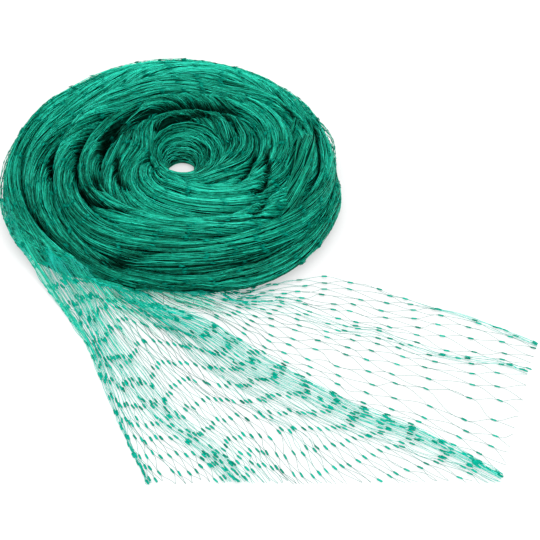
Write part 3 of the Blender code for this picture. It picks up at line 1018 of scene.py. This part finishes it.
def lattice():
    """Joint places, shape (rows, half columns + 1, 3)."""
    wanted = np.arange(ROW_NUMBERS[0], ROW_NUMBERS[-1] + 1)
    place = np.interp(wanted, ROW_NUMBERS, np.arange(len(ROW_NUMBERS)))
    lines = []
    for (_, height, *places), climb in zip(LINES, CLIMB):
        row = smooth_row(np.column_stack(places), place)
        lying = 0.5 * height * (1 - 0.4 * np.arange(len(row)) / len(row)) + 0.6
        lines.append(np.concatenate([np.array(climb, float), np.column_stack([row, lying])]))
    lines = np.array(lines)
    columns = np.array([line[0] for line in LINES], float)
    column = np.arange(HALF_COLUMNS + 1)
    left = np.clip(np.searchsorted(columns, column, side="right") - 1, 0, len(LINES) - 2)
    share = (column - columns[left]) / (columns[left + 1] - columns[left])
    return np.stack([smooth_row(row, left + share) for row in lines.swapaxes(0, 1)])


def waves(row, column, count, low, high, seed):
    """Uneven waves over the net, low to high half columns long."""
    local = np.random.default_rng(seed)
    total = np.zeros(row.shape)
    for _ in range(count):
        total += np.sin(column * TAU / local.uniform(low, high)
                        + row * local.uniform(0.7, 1.9) * local.choice([-1, 1])
                        + local.uniform(0, TAU))
    return total / math.sqrt(count)


class Net:
    """The lattice of the loose end, as uneven as a net lies."""

    def __init__(self, local):
        points = lattice()
        shape = points.shape[:2]
        row, column = np.meshgrid(*map(np.arange, shape), indexing="ij")
        self.flow = flow = unit(np.gradient(points, axis=0) * (1, 1, 0.2))
        self.side = side = turned_left(flow)
        self.gap = gap = np.linalg.norm(np.gradient(points, axis=1), axis=-1)
        pressed = np.exp(-gap / 0.8)  # where the mesh is gathered into ridges

        gather = waves(row, column, 4, 9, 24, 1) * 0.35 + waves(row, column, 3, 4, 8, 6) * 0.25
        gather = gather * gap * (1 - 0.5 * ease((11 - row) / 5))
        root = 0.2 * ease((12 - row) / 6) + 0.5 * pressed
        pleats = np.sin(column * TAU / 5.3 + row * 0.25 + 1.5 * np.sin(column * 0.21))
        gather = gather + root * gap * 0.7 * pleats
        scatter = local.normal(0, 0.25, shape) * np.minimum(gap, 1.5)
        points = points + side * (gather + scatter)[..., None]

        climb = ease((row - 3) / 3)
        uneven = (1.0 + 5.0 * pressed * climb + 1.6 * ease((column - 120) / 12)
                  + 3.0 * np.exp(-column / 4))
        sway = waves(row, column, 5, 14, 60, 2) * 1.9
        steps = 4.0 * pressed * climb * np.sin(column * 0.9 + row * 1.7)
        points = points + flow * (sway + steps + local.normal(0, 1, shape) * uneven)[..., None]
        height = points[..., 2] + waves(row, column, 5, 8, 30, 3) * 0.4
        points[..., 2] = np.maximum(height + local.normal(0, 0.15, shape), NET_LOWEST)
        self.points = off_the_coil(points, 1.1)
        self.shown = (row >= 3) | (column < 10)
        self.joined = (row + column) % 2 == 0

    def strands(self, step, local):
        """Strands to the joints one row on and step columns over: paths, tones, radii."""
        here = joint_pairs(self.joined, step)
        shown = self.shown[here] | (here[0] == CLIMB_ROWS - 1)
        inside = (beyond_cut(self.points[here]) < -2 * CUT_MARGIN) & shown
        here = tuple(index[inside] for index in here)
        aside = self.side * (STRAND_PARTING * step)
        *ends, reach = from_joint_to_joint(self.points, self.flow, aside, here, step)
        past_a, past_b = beyond_cut(ends[0]), beyond_cut(ends[2])
        cut = np.where(past_b > 0, -past_a / np.maximum(past_b - past_a, 0.1), 1.0)
        u = np.linspace(0, 1, NET_BENDS)[None, :, None] * cut[:, None, None]
        path = strand_paths(*ends, reach * local.uniform(0.6, 1.2, len(reach)), u)
        bow = local.normal(0, 0.05, len(reach)) * reach
        bend = (bow[:, None] * np.sin(math.pi * u[..., 0]))[..., None]
        path = raised(off_the_coil(path + self.side[here][:, None] * bend, 0.8))
        tone = np.clip(1.15 - 0.45 * self.gap[here], 0, 1)
        return path, tone, NET_STRAND * (1 + 0.4 * ease((11 - here[0]) / 6))


def make_net():
    local = np.random.default_rng(NET_SEED)
    net = Net(local)
    here = np.nonzero(net.joined & (beyond_cut(net.points) < -CUT_MARGIN) & net.shown)
    count = len(here[0])
    lean = local.normal(0, 0.08, count)
    direction = unit(net.flow[here] + net.side[here] * lean[:, None])
    tone = np.clip(local.normal(0.72, 0.16, count), 0, 1)
    radius = local.uniform(0.72, 0.92, count)
    part = joint_parts(net.points[here], direction, radius, tone, 4, FLAT_JOINT, 0.6)
    joints = mesh_object("net_joints", [part], joint_green)
    paths, tones, radii = map(np.concatenate, zip(*(net.strands(step, local) for step in (-1, 1))))
    part = even_tubes(paths, radii, tones)
    made = mesh_object("net_strands", [part], net_green)
    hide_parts("loose_end")


# First and last half column, first and last row the strands start from, fewest
# and most rows they run on for, how many.
ROOTS = (
    (0, 10, 0.0, 1.5, 4.5, 8.5, 16),
    (6, 46, 0.0, 1.4, 2.2, 3.2, 66),
    (24, 66, 2.0, 4.5, 2.5, 5.5, 30),
    (40, 92, 0.0, 1.4, 2.4, 4.0, 84),
    (54, 92, 2.0, 4.0, 2.5, 5.0, 22),
    (96, 150, 0.3, 4.0, 2.0, 4.0, 90),
    (119, 128, 2.5, 5.5, 2.0, 4.0, 14),
)
ROOT_STEP = 0.5  # rows between their points


def make_roots():
    """Strands that run from the coil's last turn into the loose end."""
    points = lattice()
    local = np.random.default_rng(ROOT_SEED)
    last_climb = points[CLIMB_ROWS]
    width = np.linalg.norm(np.diff(last_climb, axis=0, prepend=last_climb[:1]), axis=1).cumsum()
    paths, radii, tones = [], [], []
    for low, high, first, last, shortest, longest, count in ROOTS:
        for _ in range(count):
            across = np.interp(local.uniform(width[low], width[high]), width, np.arange(len(width)))
            start = local.uniform(first, last)
            rows = np.arange(start, start + local.uniform(shortest, longest), ROOT_STEP)
            spread = np.interp(rows, (0, 4, 7), (0.3, 0.5, 1.4))
            place = across + spread * np.sin(rows * local.uniform(0.5, 1.1) + local.uniform(0, TAU))
            place = np.clip(place, 0, HALF_COLUMNS - 0.01)
            index = np.clip(rows, 0, len(points) - 1.01)
            path = between(points.swapaxes(0, 1), place, index)
            path[:, 2] += local.uniform(-0.5, 1.5)
            paths.append(raised(off_the_coil(path, local.uniform(0.4, 1.6))))
            ends = np.minimum(np.arange(len(path)), np.arange(len(path))[::-1])
            loose = ease((rows - 3.0) / 3.0)
            radii.append((0.23 - 0.03 * loose) * np.minimum(1, 0.3 + 0.35 * ends))
            tones.append(np.clip(0.66 + local.normal(0, 0.2) + 0.2 * loose, 0.1, 1))
    counts = np.array([len(path) for path in paths])
    paths, radii, tones = map(np.concatenate, (paths, radii, tones))
    part = tubes(paths, counts, radii, tones, painted_side_shade=PAINTED_SIDE_SHADE)
    mesh_object("root_strands", [part], root_green)


# --- loose mesh round the edge

FRINGE_OUT = (0, 0, -6, 4, 0.5, 2.5, 2, -1.5)
FRINGE_SWELLS = ((14, 9, 4),)
FRINGE_FROM, FRINGE_TO = 86, 322  # degrees wound from the first bearing
FRINGE_LEVELS = 23
FRINGE_RADIUS = 118  # of the coil, for the spacing of its rows
FRINGE_STRAND, FRINGE_TONE = 0.2, 0.75


def make_fringe():
    """Mesh that stands a little off the coil round its back and sides."""
    local = np.random.default_rng(FRINGE_SEED)
    along = np.arange(math.radians(FRINGE_FROM), math.radians(FRINGE_TO), ROW / 2 / FRINGE_RADIUS)
    a, level = np.meshgrid(along, np.linspace(0, 1, FRINGE_LEVELS), indexing="ij")
    row, column = np.meshgrid(*map(np.arange, a.shape), indexing="ij")
    a = a + local.normal(0, 0.012, a.shape) + 0.02 * np.sin(column * 0.7 + row * 0.37)
    stand = 0.4 + 0.9 * np.sin(math.pi * level) * (0.75 + 0.6 * np.sin(a * 5.0 + 0.8 * column))
    radius = last_turn("edge", a) - 7.0 * ease((level - 0.72) / 0.28) - 1.5 * (1 - level) + stand
    radius = radius + round_coil(FRINGE_OUT, a) + swells(a, FRINGE_SWELLS)
    point = bearing_vector(a) * radius[..., None]
    height = 4.0 + (last_turn("crest", a) - 5.0) * level + local.normal(0, 0.6, a.shape)
    lowest = np.where(level > 0.6, coil_height(point) + 0.9, 1.0)
    point[..., 2] = np.maximum(height, lowest)
    flow = unit(np.gradient(point, axis=0))
    joined = (row + column) % 2 == 0
    here = np.nonzero(joined)
    count = len(here[0])
    tone = np.clip(local.normal(0.5, 0.15, count), 0, 1)
    radius = local.uniform(0.55, 0.8, count)
    joints = joint_parts(point[here], flow[here], radius, tone, 3, SPINDLE)
    t = np.linspace(0, 1, 4)[None, :, None]
    paths = []
    for step in (-1, 1):
        here = joint_pairs(joined, step)
        paths.append(strand_paths(*from_joint_to_joint(point, flow, 0 * flow, here, step), t))
    paths = np.concatenate(paths)
    radii, tones = (np.full(len(paths), value) for value in (FRINGE_STRAND, FRINGE_TONE))
    mesh_object("fringe_joints", [joints], joint_green)
    mesh_object("fringe_strands", [even_tubes(paths, radii, tones)], strand_green)


# --- floor, light, camera

CAMERA_FROM_HOLE = (66.1, -695.6, 704.2)
CAMERA_TILT = 49.6  # degrees below level
CAMERA_LENS, CAMERA_SENSOR, CAMERA_NEAR = 80.0, 36.0, 0.05
# Lights: name, place, size, power.
LIGHTS = (("top_light", (-0.1, -0.05, 1.5), 1.4, 10.0), ("front_light", (0.4, -0.9, 1.2), 1.2, 9.0))
WHITE = (1.0, 1.0, 1.0, 1.0)
SKY = 1.05
FLOOR_HALF = 6.0
FLOOR_DROP = 0.0004  # just under the surface the netting lies on
FLOOR_SOCKETS = {"Base Color": (0.5, 0.5, 0.503, 1.0), "Emission Color": WHITE,
                 "Emission Strength": 0.39, "Roughness": 0.9, "Specular IOR Level": 0.1}


def make_stage():
    mesh = bpy.data.meshes.new("floor")
    corners = [(x * FLOOR_HALF, y * FLOOR_HALF, 0) for x, y in ((-1, -1), (1, -1), (1, 1), (-1, 1))]
    mesh.from_pydata(corners, [], [(0, 1, 2, 3)])
    material = bpy.data.materials.new("pale_floor")
    with_nodes(material, "Principled BSDF", FLOOR_SOCKETS)
    mesh.materials.append(material)
    put_in_scene("floor", mesh, (0, 0, -FLOOR_DROP))

    world = bpy.data.worlds.new("studio")
    with_nodes(world, "Background", {"Color": WHITE, "Strength": SKY})
    bpy.context.scene.world = world

    for name, place, size, power in LIGHTS:
        light = bpy.data.lights.new(name, "AREA")
        light.size, light.energy = size, power
        put_in_scene(name, light, place, (-Vector(place)).to_track_quat("-Z", "Y").to_euler())

    camera = bpy.data.cameras.new("camera")
    camera.lens, camera.sensor_width, camera.clip_start = CAMERA_LENS, CAMERA_SENSOR, CAMERA_NEAR
    place = (HOLE + np.array(CAMERA_FROM_HOLE)) * MM
    turn = math.radians(90 - CAMERA_TILT), 0, 0
    bpy.context.scene.camera = put_in_scene("camera", camera, place, turn)
    bpy.context.scene.view_settings.view_transform = "Standard"


make_core()
make_coil_strands()
make_coil_joints()
make_bundles()
make_fringe()
make_net()
make_roots()
make_stage()
